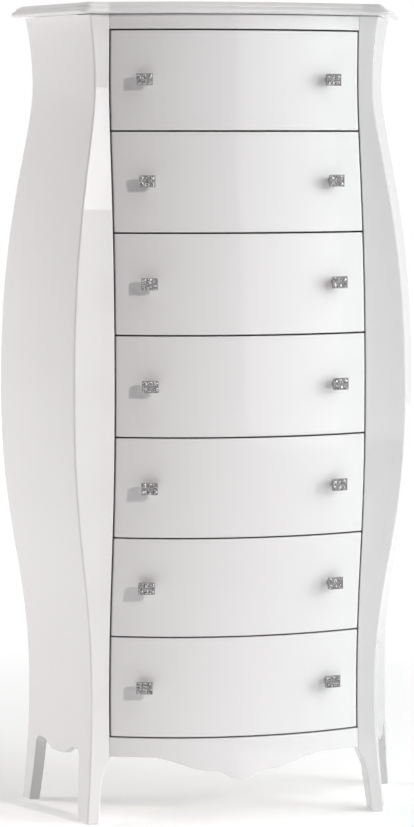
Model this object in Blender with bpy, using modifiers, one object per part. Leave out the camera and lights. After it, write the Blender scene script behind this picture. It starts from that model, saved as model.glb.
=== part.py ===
"""Tall bombe chest of seven drawers, in metres, with Z up and the front facing -Y.

The chest is symmetric about X = 0 and stands on the floor at Z = 0. Its posts, side panels and
drawer fronts all follow one curve, which swells from a neck under the top to a belly and draws in
again at the ankles. In plan the case widens towards its back and the drawer fronts are bowed.
"""

import math

import bmesh
import bpy
import numpy as np
from mathutils import Matrix, Vector
from mathutils.geometry import interpolate_bezier

# Heights above the floor and down from the top
DRAWER_COUNT = 7
DRAWER_PITCH = 0.160
DRAWER_BASE = 0.1345
FRIEZE_HEIGHT = 0.025
TOP_THICKNESS = 0.0185
NECK_DROP = 0.1115
ANKLE_HEIGHT = 0.190

# Lengths of the swelling curve's handles at the neck, the belly and the ankle
NECK_TURN = 0.091
BELLY_TURN_UP = 0.289
BELLY_TURN_DOWN = 0.240
ANKLE_TURN = 0.198

# Width of the opening between the front posts, and how far a drawer front bows out across it
OPENING_WIDTH = 0.406
BOW_RISE = 0.0422

# Width of a front post's face at five heights
POST_WIDTH_TOP = 0.0318
POST_WIDTH_NECK = 0.0230
POST_WIDTH_BELLY = 0.0647
POST_WIDTH_ANKLE = 0.0286
POST_WIDTH_FOOT = 0.0385

# How much further out the back corner stands than the front corner, at five heights
SPREAD_TOP = 0.0722
SPREAD_NECK = 0.0690
SPREAD_BELLY = 0.0800
SPREAD_ANKLE = 0.0703
SPREAD_FOOT = 0.0700

# How far the post faces stand in front of the neck, and how deep the case is behind it
FORWARD_TOP = 0.004
FORWARD_BELLY = 0.049
FORWARD_ANKLE = -0.003
FORWARD_FOOT = 0.016
CASE_DEPTH = 0.2055
BACK_FOOT_KICK = 0.010

# Front posts and their legs
POST_DEPTH = 0.036
HEEL_SET = 0.019
LEG_WIDTH = 0.0187
SHIN_HEIGHT = 0.062
LEG_TAPER_POWER = 1.5

# Back posts and their legs
BACK_POST_WIDTH = 0.018
BACK_POST_DEPTH = 0.030
BACK_LEG_WIDTH = 0.017
BACK_LEG_DEPTH = 0.026

# Boards and rails of the case
SIDE_THICKNESS = 0.012
BACK_THICKNESS = 0.006
RAIL_THICKNESS = 0.018
BACK_RAIL_HEIGHT = 0.060
BOTTOM_THICKNESS = 0.012

# Front apron: its depth beside the posts, its ogee and the drop at its middle
APRON_DEPTH = 0.0312
APRON_FILLET = 0.004
OGEE_DROP = 0.0213
OGEE_OUTER = 0.145
OGEE_INNER = 0.045
PENDANT_DROP = 0.0155
PENDANT_HALF = 0.043

# Lower edge of the side panels
SKIRT_DEPTH = 0.0262
SKIRT_DROP = 0.014
SKIRT_OUTER = 0.050
SKIRT_INNER = 0.015
SKIRT_FILLET = 0.012

# Top
TOP_OVERHANG = 0.0175
TOP_FRONT_RADIUS = 0.0235
TOP_BACK_RADIUS = 0.008
NOSE_HEIGHT = 0.0045
NOSE_ROUND = 0.0014
UNDER_SET = 0.0070
QUIRK_HEIGHT = 0.0104
QUIRK_WIDTH = 0.0012
QUIRK_SET = 0.0056
QUIRK_DEPTH = 0.0016
SHOULDER_HEIGHT = 0.0150
SHOULDER_SET = 0.0096
CREST_SET = 0.0152

# Drawers
DRAWER_GAP = 0.0026
SIDE_GAP = 0.0026
FRONT_THICKNESS = 0.018
BOX_CLEARANCE = 0.0055
BOX_WALL = 0.012
BOX_BACK_CLEARANCE = 0.005
BOX_TOP_CLEARANCE = 0.008
BASE_THICKNESS = 0.004
BASE_RISE = 0.008
GROOVE_DEPTH = 0.005

# Runner frames
RUNNER_RISE = 0.0057
RUNNER_THICKNESS = 0.012
RUNNER_REACH = 0.020
LINING_THICKNESS = 0.010

# Knobs: a block with a grid of stones on a tapered neck
KNOB_INSET = 0.0524
KNOB_RISE = 0.0014
KNOB_WIDTH = 0.026
KNOB_HEIGHT = 0.019
KNOB_DEPTH = 0.0095
KNOB_NECK = 0.0090
KNOB_BASE_RADIUS = 0.0065
KNOB_NECK_RADIUS = 0.0040
KNOB_NECK_SINK = 0.001
STONE_RIM = 0.0010
STONE_RISE = 0.0015

# Rounding of the lacquered edges
POST_CORNER_RADIUS = 0.003
POST_EDGE_RADIUS = 0.0008
FRONT_EDGE = 0.0010

# Clearances between touching pieces: flat ones, curved ones, and a knob on its front
FIT = 0.0003
CURVED_FIT = 0.0008
KNOB_FIT = 0.0006

# Fineness of the curved pieces
CURVE_STEPS = 100
CASE_ROWS = 29
LEG_ROWS = 6
FRONT_ROWS = 6
FRONT_COLUMNS = 14
APRON_COLUMNS = 36
APRON_ROWS = 3
SKIRT_COLUMNS = 24
BOX_ROWS = 5
TOP_CORNER_STEPS = 6
POST_CORNER_STEPS = 3
NECK_SIDES = 12

HALF_OPENING = OPENING_WIDTH / 2
CASE_TOP = DRAWER_BASE + DRAWER_COUNT * DRAWER_PITCH + FRIEZE_HEIGHT
NECK_HEIGHT = CASE_TOP - NECK_DROP
BELLY_HEIGHT = (NECK_HEIGHT + ANKLE_HEIGHT) / 2
KNEE_HEIGHT = DRAWER_BASE - APRON_DEPTH - APRON_FILLET
SKIRT_HEIGHT = DRAWER_BASE - SKIRT_DEPTH
BOW_RADIUS = (HALF_OPENING**2 + BOW_RISE**2) / (2 * BOW_RISE)
FRONT_HALF = HALF_OPENING - SIDE_GAP
BACK_RAIL_REAR = CASE_DEPTH - BACK_THICKNESS - FIT
BACK_RAIL_FRONT = BACK_RAIL_REAR - RAIL_THICKNESS
RUNNER_REAR = BACK_RAIL_FRONT - FIT
BOX_REAR = BACK_RAIL_FRONT - BOX_BACK_CLEARANCE
BOX_HALF = HALF_OPENING - BOX_CLEARANCE
BOTTOM_TOP = DRAWER_BASE + RUNNER_RISE - RUNNER_THICKNESS - FIT


def swell_table():
    """Heights, rising, and the share of the full swell there, read from two joined Bezier curves."""
    neck = Vector((NECK_HEIGHT, 0))
    belly = Vector((BELLY_HEIGHT, 1))
    ankle = Vector((ANKLE_HEIGHT, 0))
    lower = interpolate_bezier(
        ankle, ankle + Vector((ANKLE_TURN, 0)), belly - Vector((BELLY_TURN_DOWN, 0)), belly, CURVE_STEPS
    )
    upper = interpolate_bezier(
        belly, belly + Vector((BELLY_TURN_UP, 0)), neck - Vector((NECK_TURN, 0)), neck, CURVE_STEPS
    )
    points = np.array([point[:2] for point in lower + upper[1:]])
    return points[:, 0], points[:, 1]


SWELL_HEIGHTS, SWELL_SHARES = swell_table()


def along_curve(z, top, neck, belly, ankle, foot):
    """A size that follows the chest's curve: it flares to the top and to the foot as a parabola."""
    if z >= NECK_HEIGHT:
        return neck + (top - neck) * ((z - NECK_HEIGHT) / NECK_DROP) ** 2
    if z <= ANKLE_HEIGHT:
        return ankle + (foot - ankle) * (1 - z / ANKLE_HEIGHT) ** 2
    end = neck if z > BELLY_HEIGHT else ankle
    return end + (belly - end) * float(np.interp(z, SWELL_HEIGHTS, SWELL_SHARES))


def front_corner(z):
    """Plan position of the right front corner at height z."""
    width = along_curve(
        z, POST_WIDTH_TOP, POST_WIDTH_NECK, POST_WIDTH_BELLY, POST_WIDTH_ANKLE, POST_WIDTH_FOOT
    )
    forward = along_curve(z, FORWARD_TOP, 0, FORWARD_BELLY, FORWARD_ANKLE, FORWARD_FOOT)
    return HALF_OPENING + width, -forward


def back_corner(z):
    """Plan position of the right back corner at height z."""
    spread = along_curve(z, SPREAD_TOP, SPREAD_NECK, SPREAD_BELLY, SPREAD_ANKLE, SPREAD_FOOT)
    kick = BACK_FOOT_KICK * max(0, 1 - z / ANKLE_HEIGHT) ** 2
    return front_corner(z)[0] + spread, CASE_DEPTH + kick


def side_x(y, z):
    """The outer face of the right side, straight in plan from the front corner to the back corner."""
    front_x, front_y = front_corner(z)
    back_x, back_y = back_corner(z)
    return front_x + (back_x - front_x) * (y - front_y) / (back_y - front_y)


def bow(x):
    """How far the bowed front stands forward of the post faces at x."""
    reach = min(abs(x), HALF_OPENING)
    return math.sqrt(BOW_RADIUS**2 - reach**2) - math.sqrt(BOW_RADIUS**2 - HALF_OPENING**2)


def bowed_y(x, z):
    """The face that the drawer fronts, the frieze and the apron share."""
    return front_corner(z)[1] - bow(x)


def ogee(distance, inner, outer):
    """Rises as half a cosine wave from 0 at the outer distance to 1 at the inner one."""
    share = min(max((outer - distance) / (outer - inner), 0), 1)
    return (1 - math.cos(math.pi * share)) / 2


def fillet(distance, radius):
    """How far a quarter round of this radius reaches out at a distance from its wall."""
    if distance >= radius:
        return 0
    return radius - math.sqrt(radius**2 - (radius - max(distance, 0)) ** 2)


def clear_scene():
    for obj in list(bpy.data.objects):
        bpy.data.objects.remove(obj, do_unlink=True)


def collection_named(name):
    collection = bpy.data.collections.new(name)
    bpy.context.scene.collection.children.link(collection)
    return collection


def finish_named(name, colour, roughness, metallic=0.0):
    material = bpy.data.materials.new(name)
    material.use_nodes = True
    shader = material.node_tree.nodes["Principled BSDF"]
    shader.inputs["Base Color"].default_value = (*colour, 1)
    shader.inputs["Roughness"].default_value = roughness
    shader.inputs["Metallic"].default_value = metallic
    material.diffuse_color = (*colour, 1)
    return material


clear_scene()
CHEST = collection_named("bombe_chest")
CUTTERS = collection_named("cutters")
LACQUER = finish_named("white_lacquer", (0.84, 0.84, 0.83), 0.12)
SEALED_BOARD = finish_named("sealed_board", (0.72, 0.68, 0.60), 0.55)
DRAWER_WOOD = finish_named("drawer_wood", (0.70, 0.56, 0.38), 0.50)
CHROME = finish_named("chrome", (0.62, 0.62, 0.64), 0.12, 1.0)
CRYSTAL = finish_named("crystal", (0.80, 0.82, 0.85), 0.03)


def piece_from(name, bm, *finishes):
    """Turns a closed bmesh into a named piece of the chest with its faces pointing out."""
    bmesh.ops.recalc_face_normals(bm, faces=bm.faces)
    mesh = bpy.data.meshes.new(name)
    bm.to_mesh(mesh)
    bm.free()
    piece = bpy.data.objects.new(name, mesh)
    for finish in finishes:
        mesh.materials.append(finish)
    CHEST.objects.link(piece)
    return piece


def cutter_from(name, bm):
    """Turns a closed bmesh into a hidden cutter."""
    cutter = piece_from(name, bm)
    CHEST.objects.unlink(cutter)
    CUTTERS.objects.link(cutter)
    cutter.hide_render = True
    cutter.display_type = "WIRE"
    return cutter


def ease_edges(piece, width):
    """Takes the sharp edges off a board."""
    modifier = piece.modifiers.new("eased_edges", "BEVEL")
    modifier.width = width
    modifier.segments = 1
    modifier.limit_method = "ANGLE"
    modifier.angle_limit = math.radians(50)


def combine(piece, other, operation):
    modifier = piece.modifiers.new(other.name, "BOOLEAN")
    modifier.operation = operation
    modifier.object = other


def loft(rings):
    """A closed solid through rings of points, each with as many points as the next."""
    bm = bmesh.new()
    rows = [[bm.verts.new(point) for point in ring] for ring in rings]
    for low, high in zip(rows, rows[1:]):
        for i in range(len(low)):
            j = (i + 1) % len(low)
            bm.faces.new((low[i], low[j], high[j], high[i]))
    bm.faces.new(rows[0])
    bm.faces.new(rows[-1])
    return bm


def upright_loft(heights, outline_at):
    """A solid whose plan outline is worked out at each height."""
    return loft([[(x, y, z) for x, y in outline_at(z)] for z in heights])


def extruded(outline, travel):
    """A flat outline of points in space, carried along a vector."""
    bm = bmesh.new()
    face = bm.faces.new([bm.verts.new(point) for point in outline])
    grown = bmesh.ops.extrude_face_region(bm, geom=[face], use_keep_orig=True)["geom"]
    far = [part for part in grown if isinstance(part, bmesh.types.BMVert)]
    bmesh.ops.translate(bm, vec=travel, verts=far)
    return bm


def block(low, high):
    """A box between two opposite corners, from a cube."""
    bm = bmesh.new()
    bmesh.ops.create_cube(bm, size=1)
    sides = [b - a for a, b in zip(low, high)]
    middle = [(a + b) / 2 for a, b in zip(low, high)]
    bmesh.ops.scale(bm, vec=sides, verts=bm.verts)
    bmesh.ops.translate(bm, vec=middle, verts=bm.verts)
    return bm


def mirrored(outline_at):
    """The same outline on the left of the chest."""
    return lambda z: [(-x, y) for x, y in outline_at(z)]


def both_sides(right_outline):
    return (("left", mirrored(right_outline)), ("right", right_outline))


def rounded(corners, steps):
    """A closed outline from (x, y, radius) corners, each turned with an arc in so many steps."""
    outline = []
    count = len(corners)
    for i, (x, y, radius) in enumerate(corners):
        corner = Vector((x, y))
        to_last = (Vector(corners[i - 1][:2]) - corner).normalized()
        to_next = (Vector(corners[(i + 1) % count][:2]) - corner).normalized()
        if radius <= 0:
            outline.append((x, y))
            continue
        half_angle = to_last.angle(to_next) / 2
        centre = corner + (to_last + to_next).normalized() * radius / math.sin(half_angle)
        start = corner + to_last * radius / math.tan(half_angle) - centre
        end = corner + to_next * radius / math.tan(half_angle) - centre
        for step in range(steps + 1):
            spoke = start.slerp(end, step / steps)
            outline.append(tuple(centre + spoke * radius))
    return outline


def spaced(low, high, count):
    return [float(value) for value in np.linspace(low, high, count + 1)]


CASE_LEVELS = spaced(KNEE_HEIGHT, CASE_TOP - FIT, CASE_ROWS)


def levels(low, high):
    """Heights from low to high through the levels that all the pieces of the case share."""
    return [low, *(z for z in CASE_LEVELS if low + FIT < z < high - FIT), high]


def post_inner_x(z):
    """Inner face of a front post: upright beside the drawers, then curving out to a slim leg."""
    if z >= KNEE_HEIGHT:
        return HALF_OPENING
    slim = front_corner(z)[0] - LEG_WIDTH
    share = max(0, (z - SHIN_HEIGHT) / (KNEE_HEIGHT - SHIN_HEIGHT))
    return slim + (HALF_OPENING - slim) * share**LEG_TAPER_POWER


def post_back_y(z):
    """Back face of a front post: upright, then drawn forward with the foot."""
    return POST_DEPTH - HEEL_SET * max(0, 1 - z / KNEE_HEIGHT) ** 2


def front_post_outline(z):
    outer_x, face_y = front_corner(z)
    back_y = post_back_y(z)
    inner_x = post_inner_x(z)
    corners = [
        (inner_x, face_y, POST_EDGE_RADIUS),
        (outer_x, face_y, POST_CORNER_RADIUS),
        (side_x(back_y, z), back_y, 0),
        (inner_x, back_y, 0),
    ]
    return rounded(corners, POST_CORNER_STEPS)


def back_post_front_y(z):
    share = max(0, 1 - z / KNEE_HEIGHT)
    return back_corner(z)[1] - BACK_POST_DEPTH + (BACK_POST_DEPTH - BACK_LEG_DEPTH) * share


def back_post_inner_x(z):
    share = max(0, 1 - z / KNEE_HEIGHT)
    width = BACK_POST_WIDTH - (BACK_POST_WIDTH - BACK_LEG_WIDTH) * share
    return side_x(back_post_front_y(z), z) - width


def back_post_outline(z):
    front_y = back_post_front_y(z)
    inner_x = back_post_inner_x(z)
    outer_x, rear_y = back_corner(z)
    corners = [
        (inner_x, front_y, 0),
        (side_x(front_y, z), front_y, 0),
        (outer_x, rear_y, POST_EDGE_RADIUS),
        (inner_x, rear_y, 0),
    ]
    return rounded(corners, POST_CORNER_STEPS)


def build_posts():
    """Four posts, each one piece with its sabre leg."""
    heights = spaced(0, KNEE_HEIGHT, LEG_ROWS)[:-1] + CASE_LEVELS
    for row, right_outline in (("front", front_post_outline), ("back", back_post_outline)):
        for side, outline in both_sides(right_outline):
            piece_from(f"{row}_{side}_post", upright_loft(heights, outline), LACQUER)


def side_panel_outline(z):
    front_y = POST_DEPTH + FIT
    rear_y = back_post_front_y(z) - FIT
    front_x = side_x(front_y, z)
    rear_x = side_x(rear_y, z)
    return [
        (front_x - SIDE_THICKNESS, front_y),
        (front_x, front_y),
        (rear_x, rear_y),
        (rear_x - SIDE_THICKNESS, rear_y),
    ]


def skirt_edge_z(y, front_y, rear_y):
    """Lower edge of a side panel: a shallow drop in the middle and a quarter round at each leg."""
    drop = SKIRT_DROP * ogee(abs(y - (front_y + rear_y) / 2), SKIRT_INNER, SKIRT_OUTER)
    wall = min(y - front_y, rear_y - y)
    return SKIRT_HEIGHT - drop - fillet(wall, SKIRT_FILLET)


def build_side_panels():
    """Two curved side panels, sawn to the shaped skirt between the legs."""
    lowest = SKIRT_HEIGHT - max(SKIRT_DROP, SKIRT_FILLET)
    front_y = POST_DEPTH + FIT
    rear_y = back_post_front_y(SKIRT_HEIGHT) - FIT
    edge = [(y, skirt_edge_z(y, front_y, rear_y)) for y in spaced(front_y, rear_y, SKIRT_COLUMNS)]
    saw_front = front_y - POST_DEPTH
    saw_rear = rear_y + POST_DEPTH
    waste = [(saw_front, edge[0][1]), *edge, (saw_rear, edge[-1][1]), (saw_rear, 0), (saw_front, 0)]
    saw_half = OPENING_WIDTH
    outline = [(-saw_half, y, z) for y, z in waste]
    saw = cutter_from("skirt_saw", extruded(outline, (2 * saw_half, 0, 0)))
    heights = levels(lowest, CASE_TOP - FIT)
    for side, outline in both_sides(side_panel_outline):
        panel = piece_from(f"{side}_side_panel", upright_loft(heights, outline), LACQUER)
        combine(panel, saw, "DIFFERENCE")


def bowed_outline(half, z, front, back):
    """A strip that follows the bowed face, from `front` behind the face to `back` behind it."""
    columns = spaced(-half, half, FRONT_COLUMNS)
    face = [(x, bowed_y(x, z) + front) for x in columns]
    rear = [(x, bowed_y(x, z) + back) for x in reversed(columns)]
    return face + rear


def build_frieze():
    heights = (CASE_TOP - FRIEZE_HEIGHT + DRAWER_GAP / 2, CASE_TOP - FIT)
    frieze = upright_loft(
        heights, lambda z: bowed_outline(HALF_OPENING - FIT, z, 0, RAIL_THICKNESS)
    )
    piece_from("frieze_rail", frieze, LACQUER)


def apron_edge_z(x):
    """Lower edge of the front apron: flat by the posts, an ogee inwards and a drop at the middle."""
    reach = abs(x)
    drop = OGEE_DROP * ogee(reach, OGEE_INNER, OGEE_OUTER)
    drop += PENDANT_DROP * ogee(reach, 0, PENDANT_HALF)
    return DRAWER_BASE - APRON_DEPTH - drop - fillet(HALF_OPENING - reach, APRON_FILLET)


def build_apron():
    top = DRAWER_BASE - DRAWER_GAP / 2
    half = HALF_OPENING - FIT
    rings = []
    for x in spaced(-half, half, APRON_COLUMNS):
        face = [(x, bowed_y(x, z), z) for z in spaced(apron_edge_z(x), top, APRON_ROWS)]
        rings.append(face + [(x, y + RAIL_THICKNESS, z) for x, y, z in reversed(face)])
    ease_edges(piece_from("front_apron", loft(rings), LACQUER), FRONT_EDGE)


def build_back():
    """The back panel between the back posts, with a rail in front of it at each end."""
    top = CASE_TOP - FIT

    def board_outline(front_y, rear_y):
        def outline(z):
            half = back_post_inner_x(z) - FIT
            return [(-half, front_y), (half, front_y), (half, rear_y), (-half, rear_y)]

        return outline

    panel = board_outline(CASE_DEPTH - BACK_THICKNESS, CASE_DEPTH)
    rail = board_outline(BACK_RAIL_FRONT, BACK_RAIL_REAR)
    low = BOTTOM_TOP - BOTTOM_THICKNESS
    piece_from("back_panel", upright_loft(levels(low, top), panel), SEALED_BOARD)
    for name, start in (("upper_back_rail", top - BACK_RAIL_HEIGHT), ("lower_back_rail", low)):
        heights = levels(start, start + BACK_RAIL_HEIGHT)
        piece_from(name, upright_loft(heights, rail), SEALED_BOARD)


def bottom_outline(z):
    """Behind the apron between the front posts, then out to the side panels, then in past the back posts."""
    half = HALF_OPENING - FIT
    front = [
        (x, bowed_y(x, z) + RAIL_THICKNESS + CURVED_FIT) for x in spaced(-half, half, FRONT_COLUMNS)
    ]
    wide_front_y = POST_DEPTH + 2 * FIT
    wide_rear_y = back_post_front_y(z) - FIT
    right = [
        (half, wide_front_y),
        (side_x(wide_front_y, z) - SIDE_THICKNESS - FIT, wide_front_y),
        (side_x(wide_rear_y, z) - SIDE_THICKNESS - FIT, wide_rear_y),
        (back_post_inner_x(z) - FIT, wide_rear_y),
        (back_post_inner_x(z) - FIT, BACK_RAIL_FRONT - FIT),
    ]
    left = [(-x, y) for x, y in reversed(right)]
    return front + right + left


def build_bottom_board():
    heights = (BOTTOM_TOP - BOTTOM_THICKNESS, BOTTOM_TOP)
    piece_from("bottom_board", upright_loft(heights, bottom_outline), SEALED_BOARD)


def drawer_z(index):
    """Height of the middle of the gap under a drawer, counted from the bottom."""
    return DRAWER_BASE + index * DRAWER_PITCH


def build_runner_frames():
    """An upright lining on each side with one runner for every drawer, as a comb carried along Y."""
    inner = HALF_OPENING
    comb = [(inner + LINING_THICKNESS, BOTTOM_TOP + FIT)]
    for index in range(DRAWER_COUNT):
        rest = drawer_z(index) + RUNNER_RISE
        if index:
            comb.append((inner, rest - RUNNER_THICKNESS))
        comb.append((inner - RUNNER_REACH, rest - RUNNER_THICKNESS))
        comb.append((inner - RUNNER_REACH, rest))
        comb.append((inner, rest))
    comb.append((inner, CASE_TOP - FRIEZE_HEIGHT))
    comb.append((inner + LINING_THICKNESS, CASE_TOP - FRIEZE_HEIGHT))
    for side, sign in (("left", -1), ("right", 1)):
        outline = [(sign * x, POST_DEPTH + FIT, z) for x, z in comb]
        frame = extruded(outline, (0, RUNNER_REAR - POST_DEPTH - FIT, 0))
        piece_from(f"{side}_runner_frame", frame, SEALED_BOARD)


def top_outline(inset):
    """Plan of the top: the outline of the case carried out by the overhang, less an inset."""
    out = TOP_OVERHANG - inset
    corner_x, face_y = front_corner(CASE_TOP)
    rear_x, rear_y = back_corner(CASE_TOP)
    slope = (rear_x - corner_x) / (rear_y - face_y)
    shift = out * math.hypot(1, slope)
    arc_radius = BOW_RADIUS + out
    arc_centre_y = face_y + math.sqrt(BOW_RADIUS**2 - HALF_OPENING**2)
    arc_end = math.acos((arc_centre_y - face_y + out) / arc_radius)
    bowed = []
    for angle in spaced(-arc_end, arc_end, FRONT_COLUMNS):
        point = (arc_radius * math.sin(angle), arc_centre_y - arc_radius * math.cos(angle))
        bowed.append((*point, 0))
    front_x = corner_x + shift - slope * out
    back_x = rear_x + shift + slope * out
    right = [
        (front_x, face_y - out, TOP_FRONT_RADIUS - inset),
        (back_x, rear_y + out, max(TOP_BACK_RADIUS - inset, FIT)),
    ]
    left = [(-x, y, radius) for x, y, radius in reversed(right)]
    return rounded(bowed + right + left, TOP_CORNER_STEPS)


def build_top():
    """The top, moulded on all its edges: a nose, an ovolo, a fine quirk and a sloping crest."""
    base = CASE_TOP
    top = base + TOP_THICKNESS
    profile = [
        (base, UNDER_SET),
        (base + NOSE_HEIGHT - 2 * NOSE_ROUND, NOSE_ROUND),
        (base + NOSE_HEIGHT - NOSE_ROUND / 2, 0),
        (base + NOSE_HEIGHT + NOSE_ROUND / 2, 0),
        (base + QUIRK_HEIGHT, QUIRK_SET),
        (base + QUIRK_HEIGHT + FIT, QUIRK_SET + QUIRK_DEPTH),
        (base + QUIRK_HEIGHT + QUIRK_WIDTH, QUIRK_SET + QUIRK_DEPTH),
        (base + SHOULDER_HEIGHT, SHOULDER_SET),
        (top, CREST_SET),
    ]
    rings = [[(x, y, z) for x, y in top_outline(inset)] for z, inset in profile]
    piece_from("top_panel", loft(rings), LACQUER)


def build_drawer_front(name, base):
    heights = spaced(base + DRAWER_GAP / 2, base + DRAWER_PITCH - DRAWER_GAP / 2, FRONT_ROWS)
    board = upright_loft(heights, lambda z: bowed_outline(FRONT_HALF, z, 0, FRONT_THICKNESS))
    front = piece_from(f"{name}_front", board, LACQUER)
    ease_edges(front, FRONT_EDGE)
    return front


def box_outline(z):
    """Two side walls that run up to the curved front, joined by a back wall."""
    inner = BOX_HALF - BOX_WALL
    behind = FRONT_THICKNESS + CURVED_FIT
    outer_y = bowed_y(BOX_HALF, z) + behind
    inner_y = bowed_y(inner, z) + behind
    right = [(inner, BOX_REAR - BOX_WALL), (inner, inner_y), (BOX_HALF, outer_y), (BOX_HALF, BOX_REAR)]
    return right + [(-x, y) for x, y in reversed(right)]


def build_drawer_box(name, base):
    low = base + RUNNER_RISE + FIT
    high = base + DRAWER_PITCH + RUNNER_RISE - RUNNER_THICKNESS - BOX_TOP_CLEARANCE
    box = piece_from(f"{name}_box", upright_loft(spaced(low, high, BOX_ROWS), box_outline), DRAWER_WOOD)
    reach = BOX_HALF - BOX_WALL + GROOVE_DEPTH + FIT
    groove = block(
        (-reach, -CASE_DEPTH, low + BASE_RISE - FIT),
        (reach, BOX_REAR - BOX_WALL + GROOVE_DEPTH + FIT, low + BASE_RISE + BASE_THICKNESS + FIT),
    )
    combine(box, cutter_from(f"{name}_groove", groove), "DIFFERENCE")
    return box


def build_drawer_base(name, base):
    """A thin panel that slides into the grooves of the box."""
    low = base + RUNNER_RISE + FIT + BASE_RISE
    half = BOX_HALF - BOX_WALL + GROOVE_DEPTH
    rear_y = BOX_REAR - BOX_WALL + GROOVE_DEPTH

    def outline(z):
        behind = FRONT_THICKNESS + CURVED_FIT
        front = [(x, bowed_y(x, z) + behind) for x in spaced(-half, half, FRONT_COLUMNS)]
        return front + [(half, rear_y), (-half, rear_y)]

    panel = upright_loft((low, low + BASE_THICKNESS), outline)
    return piece_from(f"{name}_base", panel, DRAWER_WOOD)


def knob_blank():
    """One knob at the origin, facing -Y: a block with three by two stones on a tapered neck."""
    back = -KNOB_NECK
    face = back - KNOB_DEPTH
    bm = block((-KNOB_WIDTH / 2, face, -KNOB_HEIGHT / 2), (KNOB_WIDTH / 2, back, KNOB_HEIGHT / 2))
    for across, normal in ((-KNOB_WIDTH / 6, (1, 0, 0)), (KNOB_WIDTH / 6, (1, 0, 0)), (0, (0, 0, 1))):
        middle = [across * part for part in normal]
        everything = list(bm.verts) + list(bm.edges) + list(bm.faces)
        bmesh.ops.bisect_plane(bm, geom=everything, plane_co=middle, plane_no=normal)
    bm.normal_update()
    stones = [side for side in bm.faces if side.normal.y < -0.9]
    bmesh.ops.inset_individual(bm, faces=stones, thickness=STONE_RIM, depth=STONE_RISE)
    for stone in stones:
        stone.material_index = 1
    head = piece_from("knob_blank", bm, CHROME, CRYSTAL)

    neck = bmesh.new()
    length = KNOB_NECK + KNOB_NECK_SINK
    bmesh.ops.create_cone(
        neck,
        cap_ends=True,
        segments=NECK_SIDES,
        radius1=KNOB_BASE_RADIUS,
        radius2=KNOB_NECK_RADIUS,
        depth=length,
        matrix=Matrix.Translation((0, -length / 2, 0)) @ Matrix.Rotation(math.pi / 2, 4, "X"),
    )
    combine(head, cutter_from("knob_neck", neck), "UNION")
    bpy.context.view_layer.update()
    graph = bpy.context.evaluated_depsgraph_get()
    blank = bpy.data.meshes.new_from_object(head.evaluated_get(graph))
    bpy.data.objects.remove(head)
    return blank


def build_knob(name, blank, x, z):
    """A knob square to the bowed front, with the foot of its neck scribed to the curved face."""
    knob = bpy.data.objects.new(name, blank.copy())
    CHEST.objects.link(knob)
    turn = math.asin(x / BOW_RADIUS)
    place = Matrix.Translation((x, bowed_y(x, z), z)) @ Matrix.Rotation(turn, 4, "Z")
    back_again = place.inverted()
    for vertex in knob.data.vertices:
        if vertex.co.y > -FIT:
            seat = place @ vertex.co
            seat.y = bowed_y(seat.x, seat.z) - KNOB_FIT
            vertex.co = back_again @ seat
    knob.matrix_basis = place
    return knob


def hang_on(pieces, empty):
    """Parents pieces to an empty without moving them."""
    for piece in pieces:
        piece.parent = empty
        piece.matrix_parent_inverse = empty.matrix_world.inverted()


def empty_at(name, place):
    empty = bpy.data.objects.new(name, None)
    empty.location = place
    CHEST.objects.link(empty)
    bpy.context.view_layer.update()
    return empty


def build_drawers():
    """The drawers, numbered from the top; each hangs on an empty that slides along -Y."""
    blank = knob_blank()
    slides = []
    for index in range(DRAWER_COUNT):
        name = f"drawer_{DRAWER_COUNT - index}"
        base = drawer_z(index)
        middle = base + DRAWER_PITCH / 2
        pieces = [
            build_drawer_front(name, base),
            build_drawer_box(name, base),
            build_drawer_base(name, base),
            build_knob(f"{name}_left_knob", blank, KNOB_INSET - FRONT_HALF, middle + KNOB_RISE),
            build_knob(f"{name}_right_knob", blank, FRONT_HALF - KNOB_INSET, middle + KNOB_RISE),
        ]
        slide = empty_at(f"{name}_slide", (0, bowed_y(0, middle), middle))
        hang_on(pieces, slide)
        slides.append(slide)
    return slides


def centre_in_depth(parts):
    """Hangs the chest on one empty and moves it so that its bounding box is centred on Y = 0."""
    bpy.context.view_layer.update()
    reaches = [
        (piece.matrix_world @ Vector(corner)).y
        for piece in CHEST.objects
        if piece.type == "MESH"
        for corner in piece.bound_box
    ]
    chest = empty_at("bombe_chest", (0, 0, 0))
    hang_on(parts, chest)
    chest.location.y = -(min(reaches) + max(reaches)) / 2


build_posts()
build_side_panels()
build_frieze()
build_apron()
build_back()
build_bottom_board()
build_runner_frames()
build_top()
CASE_PIECES = [piece for piece in CHEST.objects]
centre_in_depth(CASE_PIECES + build_drawers() + list(CUTTERS.objects))
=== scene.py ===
"""A tall bombe chest of drawers in white gloss lacquer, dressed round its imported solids.

Every shape here is worked out from the same swelling curve as the solids, in metres, with Z up and
the drawer fronts facing -Y.
"""

import math

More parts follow.
